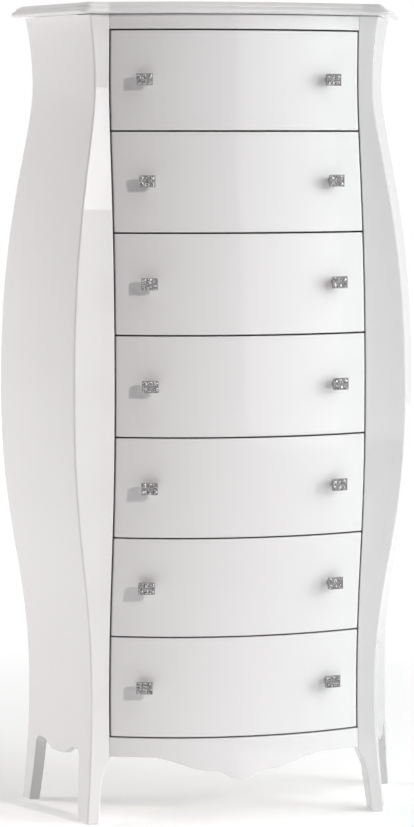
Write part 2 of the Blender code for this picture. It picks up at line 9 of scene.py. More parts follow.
import bpy
import numpy as np
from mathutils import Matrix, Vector


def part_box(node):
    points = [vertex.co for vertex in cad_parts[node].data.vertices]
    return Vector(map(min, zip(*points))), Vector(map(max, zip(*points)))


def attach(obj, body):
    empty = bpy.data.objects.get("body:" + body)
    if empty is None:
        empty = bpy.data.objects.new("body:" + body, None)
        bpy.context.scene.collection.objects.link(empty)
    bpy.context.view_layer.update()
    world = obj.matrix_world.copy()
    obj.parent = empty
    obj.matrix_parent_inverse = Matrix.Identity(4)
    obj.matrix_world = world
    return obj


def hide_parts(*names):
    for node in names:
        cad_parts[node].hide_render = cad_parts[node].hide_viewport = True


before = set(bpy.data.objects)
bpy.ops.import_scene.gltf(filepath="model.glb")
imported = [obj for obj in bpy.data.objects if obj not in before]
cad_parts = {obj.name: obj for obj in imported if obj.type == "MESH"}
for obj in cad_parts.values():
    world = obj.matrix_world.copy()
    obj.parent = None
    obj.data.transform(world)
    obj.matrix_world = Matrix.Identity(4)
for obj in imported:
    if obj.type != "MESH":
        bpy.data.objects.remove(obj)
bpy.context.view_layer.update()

# The curve
# The whole chest follows one templated curve: a neck under the top, a belly half way down and an
# ankle above the legs. The maker bends every post, panel and drawer front to it.

CASE_TOP = 1.2795
NECK = 1.168
BELLY = 0.679
ANKLE = 0.190
CURVE_TURNS = {"ankle": 0.198, "belly_down": 0.240, "belly_up": 0.289, "neck": 0.091}
HALF_OPENING = 0.203
CASE_DEPTH = 0.2055
BOW_RISE = 0.0422
BOW_RADIUS = (HALF_OPENING**2 + BOW_RISE**2) / (2 * BOW_RISE)
POST_FACE = {"top": 0.0318, "neck": 0.0230, "belly": 0.0647, "ankle": 0.0286, "foot": 0.0385}
SWELL = {"top": 0.004, "neck": 0, "belly": 0.049, "ankle": -0.003, "foot": 0.016}
SPREAD = {"top": 0.0722, "neck": 0.0690, "belly": 0.0800, "ankle": 0.0703, "foot": 0.0700}
HEEL_KICK = 0.010
neck_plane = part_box("back_panel")[1].y - CASE_DEPTH


def bezier(start, end, turn_start, turn_end, t):
    """A cubic Bezier in one coordinate, whose inner points lie a turn's length in from each end."""
    inner = start + turn_start
    outer = end - turn_end
    return (
        (1 - t) ** 3 * start
        + 3 * (1 - t) ** 2 * t * inner
        + 3 * (1 - t) * t**2 * outer
        + t**3 * end
    )


def swell_share(z):
    """Share of the full swell at heights z: 0 at neck and ankle, 1 at the belly. On each half the
    share is t * t * (3 - 2 * t), read at the height where the half's Bezier has parameter t."""
    t = np.linspace(0, 1, 400)
    rise = t * t * (3 - 2 * t)
    lower = bezier(ANKLE, BELLY, CURVE_TURNS["ankle"], CURVE_TURNS["belly_down"], t)
    upper = bezier(BELLY, NECK, CURVE_TURNS["belly_up"], CURVE_TURNS["neck"], t)
    return np.interp(z, np.concatenate([lower, upper[1:]]), np.concatenate([rise, 1 - rise[1:]]))


def along_curve(z, top, neck, belly, ankle, foot):
    """A size that swells with the curve and flares as a parabola to the top and to the foot."""
    end = np.where(z > BELLY, neck, ankle)
    body = end + (belly - end) * swell_share(z)
    flare = (top - neck) * np.clip((z - NECK) / (CASE_TOP - NECK), 0, 1) ** 2
    kick = (foot - ankle) * np.clip(1 - z / ANKLE, 0, 1) ** 2
    return body + flare + kick


def front_corner(z):
    """(x, y) of the right front corner of the case at heights z: the opening's edge carried out by
    the post's face, and the neck's plane carried forward by the swell."""
    return HALF_OPENING + along_curve(z, **POST_FACE), neck_plane - along_curve(z, **SWELL)


def back_corner(z):
    """(x, y) of the right back corner: the front corner carried out by the spread of the sides."""
    kick = HEEL_KICK * np.clip(1 - z / ANKLE, 0, 1) ** 2
    return front_corner(z)[0] + along_curve(z, **SPREAD), neck_plane + CASE_DEPTH + kick


def side_x(y, z):
    """The side's outer face, straight in plan from the front corner to the back corner."""
    front_x, front_y = front_corner(z)
    back_x, back_y = back_corner(z)
    return front_x + (back_x - front_x) * (y - front_y) / (back_y - front_y)


def bowed_y(x, z):
    """The face of frieze, drawers and apron: an arc in plan, carried along the swelling curve."""
    reach = np.minimum(np.abs(x), HALF_OPENING)
    arc = np.sqrt(BOW_RADIUS**2 - reach**2) - math.sqrt(BOW_RADIUS**2 - HALF_OPENING**2)
    return front_corner(z)[1] - arc


# Front posts
# Two solid hardwood posts, one on each side of the drawers, sawn to the curve and carried on down
# as sabre legs. They are sanded, primed and sprayed with white lacquer, then polished to a gloss.

KNEE = 0.0991
SKIRT = 0.1083
SHIN = 0.062
POST_DEPTH = 0.036
HEEL_SET = 0.019
LEG_WIDTH = 0.0187
POST_CORNER = 0.0032
LEG_EASE = 0.0012
SOLE_EASE = 0.0014
SKIRT_COVER = 0.012
COVER_FADE = 0.010
TOP_JOINT = 0.0013
LEG_ROWS = 34
CASE_ROWS = 200


class Channel:
    """One socket in a material's nodes. Arithmetic on channels adds Math nodes, and node() adds
    any other node."""

    def __init__(self, tree, socket=None):
        self.tree = tree
        self.socket = socket

    def node(self, kind, settings, inputs, output=0):
        """A node of a type, with its settings made first and then its inputs set or linked."""
        made = self.tree.nodes.new(kind)
        for name, value in settings.items():
            if name == "stops":
                ramp = made.color_ramp.elements
                while len(ramp) < len(value):
                    ramp.new(0.5)
                for stop, (place, colour) in zip(ramp, value):
                    stop.position = place
                    stop.color = (*colour, 1)
            else:
                setattr(made, name, value)
        for name, value in inputs.items():
            if isinstance(value, Channel):
                self.tree.links.new(value.socket, made.inputs[name])
            else:
                made.inputs[name].default_value = value
        return Channel(self.tree, made.outputs[output])

    def maths(self, operation, left, right):
        """A Math node on two values, either of which may be a plain number."""
        return self.node("ShaderNodeMath", {"operation": operation}, {0: left, 1: right})

    def __add__(self, other):
        return self.maths("ADD", self, other)

    def __sub__(self, other):
        return self.maths("SUBTRACT", self, other)

    def __mul__(self, other):
        return self.maths("MULTIPLY", self, other)

    def __radd__(self, other):
        return self.maths("ADD", other, self)

    def __rsub__(self, other):
        return self.maths("SUBTRACT", other, self)

    def __rmul__(self, other):
        return self.maths("MULTIPLY", other, self)


def new_finish(name):
    """An empty material: (material, its channel, its Principled shader)."""
    material = bpy.data.materials.new(name)
    material.use_nodes = True
    shader = material.node_tree.nodes["Principled BSDF"]
    return material, Channel(material.node_tree), shader


def lacquer_finish(name, colour):
    """Sprayed and polished lacquer: a faint orange peel under a clear, glossy coat."""
    material, channel, shader = new_finish(name)
    place = channel.node("ShaderNodeTexCoord", {}, {}, "Object")
    cloud = channel.node("ShaderNodeTexNoise", {}, {"Vector": place, "Scale": 5.0, "Detail": 2.0})
    tint = channel.node(
        "ShaderNodeMix",
        {"data_type": "RGBA"},
        {"Factor": cloud, 6: (*colour, 1), 7: (*(0.985 * part for part in colour), 1)},
        2,
    )
    peel = channel.node("ShaderNodeTexNoise", {}, {"Vector": place, "Scale": 260.0, "Detail": 1.0})
    swirl = channel.node("ShaderNodeTexNoise", {}, {"Vector": place, "Scale": 34.0, "Detail": 3.0})
    relief = channel.node(
        "ShaderNodeBump", {}, {"Strength": 0.05, "Distance": 0.0002, "Height": peel}
    )
    channel.tree.links.new(tint.socket, shader.inputs["Base Color"])
    channel.tree.links.new((0.20 + 0.10 * swirl).socket, shader.inputs["Roughness"])
    channel.tree.links.new(relief.socket, shader.inputs["Normal"])
    shader.inputs["Specular IOR Level"].default_value = 0.0
    shader.inputs["Coat Weight"].default_value = 1.0
    shader.inputs["Coat Roughness"].default_value = 0.03
    return material


WHITE_LACQUER = lacquer_finish("white_lacquer", (0.800, 0.797, 0.797))


def skin(name, rings, finish, sharp_degrees=32):
    """A closed mesh through an array of rings (ring, point, xyz), filled at its first and last
    ring. Its faces are turned outwards, and edges sharper than the given angle stay crisp."""
    count, around = rings.shape[:2]
    index = np.arange(count * around).reshape(count, around)
    near, far = index[:-1], index[1:]
    quads = np.stack([near, np.roll(near, -1, 1), np.roll(far, -1, 1), far], -1).reshape(-1, 4)
    points = rings.reshape(-1, 3)
    a, b, c, d = (points[quads[:, i]] for i in range(4))
    centre = points.mean(0)
    volume = np.einsum("ij,ij->", (a + c) / 2 - centre, np.cross(c - a, d - b))
    faces = quads.tolist() + [index[0, ::-1].tolist(), index[-1].tolist()]
    if volume < 0:
        faces = [face[::-1] for face in faces]
    mesh = bpy.data.meshes.new(name)
    mesh.from_pydata(points.tolist(), [], faces)
    mesh.polygons.foreach_set("use_smooth", np.ones(len(faces), bool))
    mesh.set_sharp_from_angle(angle=math.radians(sharp_degrees))
    mesh.materials.append(finish)
    piece = bpy.data.objects.new(name, mesh)
    bpy.context.scene.collection.objects.link(piece)
    return piece


def unit(vectors):
    """The same vectors, each divided by its own length."""
    return vectors / np.linalg.norm(vectors, axis=-1, keepdims=True)


def turned_corner(before, corner, after, radius, steps):
    """Arcs that round off plan corners. All inputs are arrays (row, 2), but radius is an array
    (row). Each arc runs between the two points where its circle touches the corner's sides."""
    back, on = unit(before - corner), unit(after - corner)
    half = np.arccos(np.clip((back * on).sum(1), -1, 1)) / 2
    centre = corner + unit(back + on) * (radius / np.sin(half))[:, None]
    tangent = (radius / np.tan(half))[:, None]
    start, end = unit(corner + back * tangent - centre), unit(corner + on * tangent - centre)
    sweep = np.arccos(np.clip((start * end).sum(1), -1, 1))[:, None, None]
    share = np.linspace(0, 1, steps + 1)[None, :, None]
    spokes = np.sin((1 - share) * sweep) * start[:, None] + np.sin(share * sweep) * end[:, None]
    return centre[:, None] + radius[:, None, None] * spokes / np.sin(sweep)


SUPPORT_SHARES = np.array([0.02, 0.15, 0.38, 0.62, 0.85, 0.98])


def rounded_plan(corners, radii, steps, supports=SUPPORT_SHARES):
    """Plan outlines (row, point, 2) from corners, a list of arrays (row, 2), each turned by its
    radii, with points set along the straight sides between them."""
    arcs = [
        turned_corner(corners[i - 1], corner, corners[(i + 1) % len(corners)], radius, steps)
        for i, (corner, radius) in enumerate(zip(corners, radii))
    ]
    outline = []
    for i, arc in enumerate(arcs):
        start, end = arc[:, -1:], arcs[(i + 1) % len(arcs)][:, :1]
        outline += [arc, start + (end - start) * supports[None, :, None]]
    return np.concatenate(outline, 1)


def with_heights(plan, z):
    """Rings from plan outlines (row, point, 2) and their heights z."""
    heights = np.broadcast_to(z[:, None, None], (*plan.shape[:2], 1))
    return np.concatenate([plan, heights], 2)


def eased_sole(rings, ease):
    """The same rings with the points of the lowest moved towards its middle by ease, which takes
    the edge off a sole."""
    lowest = rings[0, :, :2]
    inwards = unit(lowest.mean(0) - lowest)
    rings[0, :, :2] = lowest + inwards * ease
    return rings


def mirrored(rings):
    """The same rings on the chest's left, with x times -1."""
    return rings * np.array([-1, 1, 1])


def flat_xy(x, y):
    """Plan points (row, 2) from x and y, spread to one length."""
    return np.stack(np.broadcast_arrays(x, y), -1)


def post_inner_x(z):
    """Inner face of a front post: upright beside the drawers and curving out to a slim leg."""
    slim = front_corner(z)[0] - LEG_WIDTH
    share = np.clip((z - SHIN) / (KNEE - SHIN), 0, 1) ** 1.5
    return np.where(z < KNEE, slim + (HALF_OPENING - slim) * share, HALF_OPENING)


def leg_ease(z):
    """Radius of a leg's edges: full on the bare leg, and all but gone behind the side's skirt."""
    return LEG_EASE * np.clip((SKIRT - SKIRT_COVER - z) / COVER_FADE, 0.02, 1)


def front_post_rings(z):
    """Plan outlines of the right front post, with a rounded outer corner and eased leg edges."""
    outer_x, face_y = front_corner(z)
    back_y = neck_plane + POST_DEPTH - HEEL_SET * np.clip(1 - z / KNEE, 0, 1) ** 2
    inner_x = post_inner_x(z)
    corners = [
        flat_xy(inner_x, face_y),
        flat_xy(outer_x, face_y),
        flat_xy(side_x(back_y, z), back_y),
        flat_xy(inner_x, back_y),
    ]
    ease = leg_ease(z)
    radii = [np.full(z.shape, LEG_EASE), np.full(z.shape, POST_CORNER), ease, ease]
    return with_heights(rounded_plan(corners, radii, 6), z)


leg_heights = np.linspace(SOLE_EASE, KNEE, LEG_ROWS)
case_heights = np.linspace(KNEE, CASE_TOP - TOP_JOINT, CASE_ROWS)
post_heights = np.concatenate([[0.0], leg_heights, case_heights[1:]])
right_post = eased_sole(front_post_rings(post_heights), SOLE_EASE)
for side, rings in (("left", mirrored(right_post)), ("right", right_post)):
    post = skin(f"{side}_front_post_lacquered", rings, WHITE_LACQUER)
    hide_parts(f"front_{side}_post")
    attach(post, "carcass")

# Back posts
# Slimmer posts of the same hardwood at the back corners. They follow the curve too and end in plain
# splayed legs. Their outer faces are flush with the side panels and are lacquered with them.

BACK_POST_WIDTH = 0.018
BACK_POST_DEPTH = 0.030
BACK_LEG_WIDTH = 0.017
BACK_LEG_DEPTH = 0.026
BACK_CORNER = 0.0012


def back_post_front_y(z):
    """Front face of a back post: its depth in front of the case's back, thinning down the leg."""
    share = np.clip(1 - z / KNEE, 0, 1)
    return back_corner(z)[1] - BACK_POST_DEPTH + (BACK_POST_DEPTH - BACK_LEG_DEPTH) * share


def back_post_rings(z):
    """Plan outlines of the right back post: four corners, the rear outer one rounded."""
    share = np.clip(1 - z / KNEE, 0, 1)
    front_y = back_post_front_y(z)
    outer_x, rear_y = back_corner(z)
    width = BACK_POST_WIDTH - (BACK_POST_WIDTH - BACK_LEG_WIDTH) * share
    inner_x = side_x(front_y, z) - width
    ease = leg_ease(z)
    corners = [
        flat_xy(inner_x, front_y),
        flat_xy(side_x(front_y, z), front_y),
        flat_xy(outer_x, rear_y),
        flat_xy(inner_x, rear_y),
    ]
    radii = [ease, ease, np.full(z.shape, BACK_CORNER), ease]
    return with_heights(rounded_plan(corners, radii, 5), z)


right_back_post = eased_sole(back_post_rings(post_heights), SOLE_EASE)
for side, rings in (("left", mirrored(right_back_post)), ("right", right_back_post)):
    post = skin(f"{side}_back_post_lacquered", rings, WHITE_LACQUER)
    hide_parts(f"back_{side}_post")
    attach(post, "carcass")

# Side panels
# Bent boards between the posts, flush with them and sprayed in one go, so that no joint shows. The
# lower edge is sawn to a shallow skirt with a quarter round beside each leg.

SIDE_THICKNESS = 0.012
SKIRT_DROP = 0.014
SKIRT_OUTER = 0.050
SKIRT_INNER = 0.015
SKIRT_FILLET = 0.012
SKIRT_EASE = 0.0016
SIDE_SEAT = 0.0002


def ogee(distance, inner, outer):
    """Half a cosine wave, 0 at the outer distance and 1 at the inner one."""
    share = np.clip((outer - distance) / (outer - inner), 0, 1)
    return (1 - np.cos(np.pi * share)) / 2


def quarter_round(distance, radius):
    """How far a quarter round of this radius reaches out, at a distance from its wall."""
    reach = np.clip(radius - distance, 0, radius)
    return np.where(distance < radius, radius - np.sqrt(radius**2 - reach**2), 0)


def side_panel_rings(u):
    """Closed sections of the right side panel at shares u of the way from front to back post: down
    the outer face, round the sawn lower edge and up the inner face."""
    front_y = neck_plane + POST_DEPTH
    rear_y = back_post_front_y(np.array(SKIRT))
    y = front_y + u * (rear_y - front_y)
    drop = SKIRT_DROP * ogee(np.abs(y - (front_y + rear_y) / 2), SKIRT_INNER, SKIRT_OUTER)
    wall = np.minimum(y - front_y, rear_y - y)
    edge = SKIRT - drop - quarter_round(wall, SKIRT_FILLET)
    down = np.linspace(0, 1, CASE_ROWS)
    turn = np.linspace(0, np.pi / 2, 5)
    top = CASE_TOP - SIDE_SEAT
    rows = top + (edge[:, None] + SKIRT_EASE - top) * down
    outer_turn = edge[:, None] + SKIRT_EASE * (1 - np.sin(turn))
    heights = np.concatenate([rows, outer_turn[:, 1:], outer_turn[:, ::-1], rows[:, -2::-1]], 1)
    zero = np.zeros(rows.shape[1])
    inwards = SKIRT_EASE * (1 - np.cos(turn))
    full = np.full(rows.shape[1], SIDE_THICKNESS)
    depths = np.concatenate([zero, inwards[1:], SIDE_THICKNESS - inwards[::-1], full[:-1]])
    along = front_y + u[:, None] * (back_post_front_y(heights) - front_y)
    return np.stack([side_x(along, heights) - depths, along, heights], -1)


right_panel = side_panel_rings(np.linspace(0, 1, 57))
for side, rings in (("left", mirrored(right_panel)), ("right", right_panel)):
    panel = skin(f"{side}_side_lacquered", rings, WHITE_LACQUER)
    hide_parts(f"{side}_side_panel")
    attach(panel, "carcass")

# Frieze and apron
# The frieze is the bowed rail under the top. The apron closes the front below the lowest drawer: it
# is the same bowed board, sawn to a double ogee with a small drop at the middle.

DRAWER_BASE = 0.1345
DRAWER_GAP = 0.0026
FRIEZE_HEIGHT = 0.025
APRON_SHOULDER = 0.1033
APRON_FILLET = 0.004
OGEE_HEIGHT, OGEE_INNER, OGEE_OUTER = 0.0213, 0.045, 0.145
DROP_HEIGHT, DROP_OUTER = 0.0155, 0.043
RAIL_HALF = 0.2029
RAIL_THICKNESS = 0.018
RAIL_EASE = 0.0008
LEAST_EASE = 0.00002


def bowed_board_rings(half, low_at, top, thickness, ease, columns, rows):
    """Closed sections across a bowed board from x = -half to half. Each section is a rounded
    rectangle of height and of depth behind the bowed face, and the end sections shrink by
    ease * (1 - cos a) while they reach out by ease * sin a."""
    turn = np.linspace(0, np.pi / 2, 5)
    ends = half - ease + ease * np.sin(turn)
    inner = np.linspace(ease - half, half - ease, columns)
    x = np.concatenate([-ends[::-1], inner[1:-1], ends])
    shrink = np.concatenate(
        [ease * (1 - np.cos(turn[::-1])), np.zeros(columns - 2), ease * (1 - np.cos(turn))]
    )[:, None]
    radius = np.maximum(ease - shrink, LEAST_EASE)
    low = low_at(x)[:, None] + shrink
    high = top - shrink
    near, far = shrink, thickness - shrink
    sine, cosine = np.sin(turn), np.cos(turn)
    share = np.linspace(0, 1, rows)
    down = high - radius + (low - high + 2 * radius) * share
    z = np.concatenate(
        [
            down,
            low + radius * (1 - sine[1:]),
            low + radius * (1 - cosine),
            down[:, -2:0:-1],
            high - radius * (1 - sine),
            high - radius * (1 - cosine[:-1]),
        ],
        1,
    )
    depth = np.concatenate(
        [
            near + 0 * down,
            near + radius * (1 - cosine[1:]),
            far - radius * (1 - sine),
            far + 0 * down[:, -2:0:-1],
            far - radius * (1 - cosine),
            near + radius * (1 - sine[:-1]),
        ],
        1,
    )
    across = np.broadcast_to(x[:, None], z.shape)
    return np.stack([across, bowed_y(across, z) + depth, z], -1)


def frieze_low(x):
    """Lower edge of the frieze: level, half a gap above the top drawer's pitch line."""
    return np.full(x.shape, CASE_TOP - FRIEZE_HEIGHT + DRAWER_GAP / 2)


def apron_low(x):
    """Lower edge of the apron: flat by the posts, an ogee inwards and a drop at the middle."""
    reach = np.abs(x)
    drop = OGEE_HEIGHT * ogee(reach, OGEE_INNER, OGEE_OUTER)
    drop = drop + DROP_HEIGHT * ogee(reach, 0, DROP_OUTER)
    return APRON_SHOULDER - drop - quarter_round(HALF_OPENING - reach, APRON_FILLET)


for name, node, low_at, top, columns, rows in (
    ("frieze_lacquered", "frieze_rail", frieze_low, CASE_TOP - TOP_JOINT, 80, 6),
    ("apron_lacquered", "front_apron", apron_low, DRAWER_BASE - DRAWER_GAP / 2, 170, 14),
):
    rings = bowed_board_rings(RAIL_HALF, low_at, top, RAIL_THICKNESS, RAIL_EASE, columns, rows)
    rail = skin(name, rings, WHITE_LACQUER)
    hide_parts(node)
    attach(rail, "carcass")

# Top
# A lacquered board with a moulding run round its edge. Its plan is the case's own, carried out by
# the overhang. It rests on the sides, and a fine joint parts it from the posts and the frieze.

TOP_OVERHANG = 0.0175
TOP_FRONT_RADIUS = 0.0235
TOP_BACK_RADIUS = 0.008
LEAST_CORNER = 0.0003


def moulding():
    """(height, inset) up the edge in metres: an undercut, a nose, an ovolo, a fine quirk and a
    crest that slopes back to the top."""
    profile = [
        (0.0, 7.0),
        (1.0, 3.4),
        (2.0, 1.3),
        (3.0, 0.3),
        (3.8, 0.0),
        (5.2, 0.0),
        (6.0, 0.4),
        (7.0, 1.3),
        (8.4, 3.0),
        (9.6, 4.6),
        (10.4, 5.6),
        (10.5, 6.9),
        (10.7, 7.2),
        (11.4, 7.2),
        (11.6, 7.1),
        (12.3, 7.2),
        (13.6, 8.1),
        (15.0, 9.6),
        (16.6, 12.2),
        (17.7, 14.0),
        (18.2, 14.7),
        (18.5, 15.4),
    ]
    return np.array(profile) / 1000


def top_rings():
    """Plan outlines of the top, one for each step of the moulding: a bowed front, two rounded
    front corners, straight sides and two small back corners, all set in by the moulding's inset."""
    height, inset = moulding().T
    out = TOP_OVERHANG - inset
    corner_x, face_y = (float(v) for v in front_corner(np.array(CASE_TOP)))
    rear_x, rear_y = (float(v) for v in back_corner(np.array(CASE_TOP)))
    slope = (rear_x - corner_x) / (rear_y - face_y)
    shift = out * math.hypot(1, slope)
    centre_y = face_y + math.sqrt(BOW_RADIUS**2 - HALF_OPENING**2)
    radius = BOW_RADIUS + out
    end = np.arccos((centre_y - face_y + out) / radius)
    angle = end[:, None] * np.linspace(-1, 1, 90)
    bow = np.stack(
        [radius[:, None] * np.sin(angle), centre_y - radius[:, None] * np.cos(angle)], -1
    )
    front = flat_xy(corner_x + shift - slope * out, face_y - out)
    back = flat_xy(rear_x + shift + slope * out, rear_y + out)
    flip = np.array([-1, 1])
    right_front = turned_corner(bow[:, -1], front, back, TOP_FRONT_RADIUS - inset, 16)
    back_radius = np.maximum(TOP_BACK_RADIUS - inset, LEAST_CORNER)
    right_back = turned_corner(front, back, back * flip, back_radius, 8)
    near_arc = np.array([0.04, 0.3, 0.7, 0.96])[None, :, None]
    long_side = np.array([0.004, 0.02, 0.1, 0.3, 0.5, 0.7, 0.9, 0.98, 0.996])[None, :, None]
    shoulder = bow[:, -1:] + (right_front[:, :1] - bow[:, -1:]) * near_arc
    flank = right_front[:, -1:] + (right_back[:, :1] - right_front[:, -1:]) * long_side
    half_rear = right_back[:, -1:] * (1 - near_arc * 0.5)
    half_rear[..., 1] = right_back[:, -1:, 1]
    right = np.concatenate([shoulder, right_front, flank, right_back, half_rear], 1)
    left = (right * flip)[:, ::-1]
    return with_heights(np.concatenate([bow, right, left], 1), CASE_TOP + height)


top_board = skin("top_lacquered", top_rings(), WHITE_LACQUER, sharp_degrees=40)
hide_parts("top_panel")
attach(top_board, "carcass")

# Back and inside of the case
# Sealed fibreboard behind and under the drawers, with two stiffening rails. It is sprayed with a
# thin matt coat that lets the fibre show, because nobody sees it in use.


def board_finish(name, colour):
    """Matt sealed board: fine fibre and soft clouds in colour, and a dry, slightly rough face."""
    material, channel, shader = new_finish(name)
    place = channel.node("ShaderNodeTexCoord", {}, {}, "Object")
    fibre = channel.node(
        "ShaderNodeTexNoise", {}, {"Vector": place, "Scale": 420.0, "Detail": 3.0, "Roughness": 0.7}
    )
    cloud = channel.node("ShaderNodeTexNoise", {}, {"Vector": place, "Scale": 9.0, "Detail": 4.0})
    fleck = 0.65 * cloud + 0.35 * fibre
    tint = channel.node(
        "ShaderNodeValToRGB",
        {"stops": [(0.3, [0.90 * part for part in colour]), (0.7, colour)]},
        {"Fac": fleck},
    )
    relief = channel.node(
        "ShaderNodeBump", {}, {"Strength": 0.25, "Distance": 0.0003, "Height": fibre}
    )
    channel.tree.links.new(tint.socket, shader.inputs["Base Color"])
    channel.tree.links.new((0.50 + 0.15 * fibre).socket, shader.inputs["Roughness"])
    channel.tree.links.new(relief.socket, shader.inputs["Normal"])
    return material


SEALED_BOARD = board_finish("sealed_board", (0.70, 0.68, 0.64))


def paint_node(node, finish):
    """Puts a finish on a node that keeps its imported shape."""
    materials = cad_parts[node].data.materials
    materials.clear()
    materials.append(finish)


for node in (
    "back_panel",
    "upper_back_rail",
    "lower_back_rail",
    "bottom_board",
    "left_runner_frame",
    "right_runner_frame",
):
    paint_node(node, SEALED_BOARD)

# Drawer fronts
# Seven bowed fronts, each pressed from laminated board on the same former and lacquered all round.
# Their edges are eased by hand, and an even gap runs round each one.

DRAWER_COUNT = 7
DRAWER_PITCH = 0.160
SIDE_GAP = 0.0026
FRONT_HALF = HALF_OPENING - SIDE_GAP
FRONT_THICKNESS = 0.018
FRONT_EASE = 0.0014

for number in range(1, DRAWER_COUNT + 1):
    base = DRAWER_BASE + (DRAWER_COUNT - number) * DRAWER_PITCH
    low, high = base + DRAWER_GAP / 2, base + DRAWER_PITCH - DRAWER_GAP / 2
    rings = bowed_board_rings(
        FRONT_HALF,
        lambda x: low + 0 * x,
        high,
        FRONT_THICKNESS,
        FRONT_EASE,
        columns=90,
        rows=34,
    )
    front = skin(f"drawer_{number}_front_lacquered", rings, WHITE_LACQUER)
    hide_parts(f"drawer_{number}_front")
    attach(front, f"drawer_{number}")

# Drawer boxes
# Two sides and a back of pale solid wood with a plywood base let into a groove, oiled and waxed.
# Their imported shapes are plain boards, so they stay, and only the wood is added.


def wood_finish(name, light, dark):
    """Straight-grained pale wood, its grain running along Y: stretched noise for the growth lines,
    finer stretched noise for the pores, and a satin sheen that the pores break up."""
    material, channel, shader = new_finish(name)
    place = channel.node("ShaderNodeTexCoord", {}, {}, "Object")
    plank = channel.node("ShaderNodeMapping", {}, {"Vector": place, "Scale": (26.0, 2.2, 26.0)})
    growth = channel.node(
        "ShaderNodeTexNoise", {}, {"Vector": plank, "Scale": 2.4, "Detail": 6.0, "Distortion": 0.6}
    )
    grain = channel.node("ShaderNodeMapping", {}, {"Vector": place, "Scale": (900.0, 26.0, 900.0)})
    pores = channel.node("ShaderNodeTexNoise", {}, {"Vector": grain, "Scale": 1.0, "Detail": 2.0})
    figure = 0.75 * growth + 0.25 * pores
    tint = channel.node(
        "ShaderNodeValToRGB", {"stops": [(0.32, dark), (0.66, light)]}, {"Fac": figure}
    )
    relief = channel.node(
        "ShaderNodeBump", {}, {"Strength": 0.2, "Distance": 0.0002, "Height": pores}
    )
    channel.tree.links.new(tint.socket, shader.inputs["Base Color"])
    channel.tree.links.new((0.38 + 0.20 * pores).socket, shader.inputs["Roughness"])
    channel.tree.links.new(relief.socket, shader.inputs["Normal"])
    return material


DRAWER_WOOD = wood_finish("drawer_wood", (0.74, 0.60, 0.42), (0.58, 0.43, 0.27))

for number in range(1, DRAWER_COUNT + 1):
    for part in ("box", "base"):
        paint_node(f"drawer_{number}_{part}", DRAWER_WOOD)

# Knobs
# Small square knobs in two places on each front: a metal plate on a turned neck, its face divided
# by bezels into a grid of cut stones. A screw from inside the drawer pulls the neck to the front.

KNOB_X = 0.148
KNOB_RISE = 0.0014
KNOB_NECK = 0.009
KNOB_SIZE = (0.026, 0.0095, 0.019)
PLATE_DEPTH = 0.0052
PLATE_ROUND = 0.0016
STONE_GRID = (3, 2)
BEZEL_WIDTH = 0.0009
BEZEL_RISE = 0.0007
BEZEL_SINK = 0.0002
STONE_RISE = 0.0015
# Spread of the painted reflections drawn for the stones' facets.
PAINTED_REFLECTION_SPREAD = (0.55, 0.75)


def metal_finish(name, colour):
    """Polished plated metal with faint smears that dull it here and there."""
    material, channel, shader = new_finish(name)
    place = channel.node("ShaderNodeTexCoord", {}, {}, "Object")
    smear = channel.node("ShaderNodeTexNoise", {}, {"Vector": place, "Scale": 160.0, "Detail": 3.0})
    channel.tree.links.new((0.10 + 0.22 * smear).socket, shader.inputs["Roughness"])
    shader.inputs["Base Color"].default_value = (*colour, 1)
    shader.inputs["Metallic"].default_value = 1.0
    return material


def stone_finish(name):
    """Foil-backed cut glass, metallic under a clear coat. Each facet throws back its own part of
    the room, and a facet attribute paints that reflection into the base colour: 0 is a facet
    painted dark and 1 is one painted as a bright flash."""
    material, channel, shader = new_finish(name)
    flash = channel.node("ShaderNodeAttribute", {"attribute_name": "flash"}, {}, "Fac")
    tint = channel.node(
        "ShaderNodeValToRGB",
        {
            "stops": [
                (0.0, (0.050, 0.049, 0.049)),
                (0.45, (0.18, 0.176, 0.176)),
                (0.75, (0.42, 0.41, 0.41)),
                (1.0, (0.86, 0.85, 0.85)),
            ]
        },
        {"Fac": flash},
    )
    channel.tree.links.new(tint.socket, shader.inputs["Base Color"])
    channel.tree.links.new((0.10 - 0.06 * flash).socket, shader.inputs["Roughness"])
    shader.inputs["Metallic"].default_value = 0.9
    shader.inputs["Coat Weight"].default_value = 1.0
    shader.inputs["Coat Roughness"].default_value = 0.02
    return material


KNOB_METAL = metal_finish("plated_knob_metal", (0.33, 0.323, 0.322))
KNOB_STONE = stone_finish("cut_stone")
# Random draws for the stones' painted reflections.
painted_reflection_draws = np.random.default_rng(7)


def square_ring(width, height, radius, y, steps=3):
    """One ring of a rounded rectangle across X and Z, at depth y."""
    half = np.array([[-width, -height], [width, -height], [width, height], [-width, height]]) / 2
    corners = [half[i : i + 1] for i in range(4)]
    plan = rounded_plan(corners, [np.array([radius])] * 4, steps, np.array([0.1, 0.9]))[0]
    return np.stack([plan[:, 0], np.full(len(plan), y), plan[:, 1]], -1)


def knob_plate_rings():
    """The metal plate as rounded rectangles from its back to its face, with eased edges."""
    width, depth, height = KNOB_SIZE
    face = -KNOB_NECK - depth
    back = face + PLATE_DEPTH
    steps = [
        (0.0010, back),
        (0.0003, back - 0.0003),
        (0.0, back - 0.0010),
        (0.0, face + 0.0008),
        (0.0002, face + 0.0002),
        (0.0008, face),
    ]
    return np.array(
        [
            square_ring(width - 2 * inset, height - 2 * inset, PLATE_ROUND - inset / 2, y)
            for inset, y in steps
        ]
    )


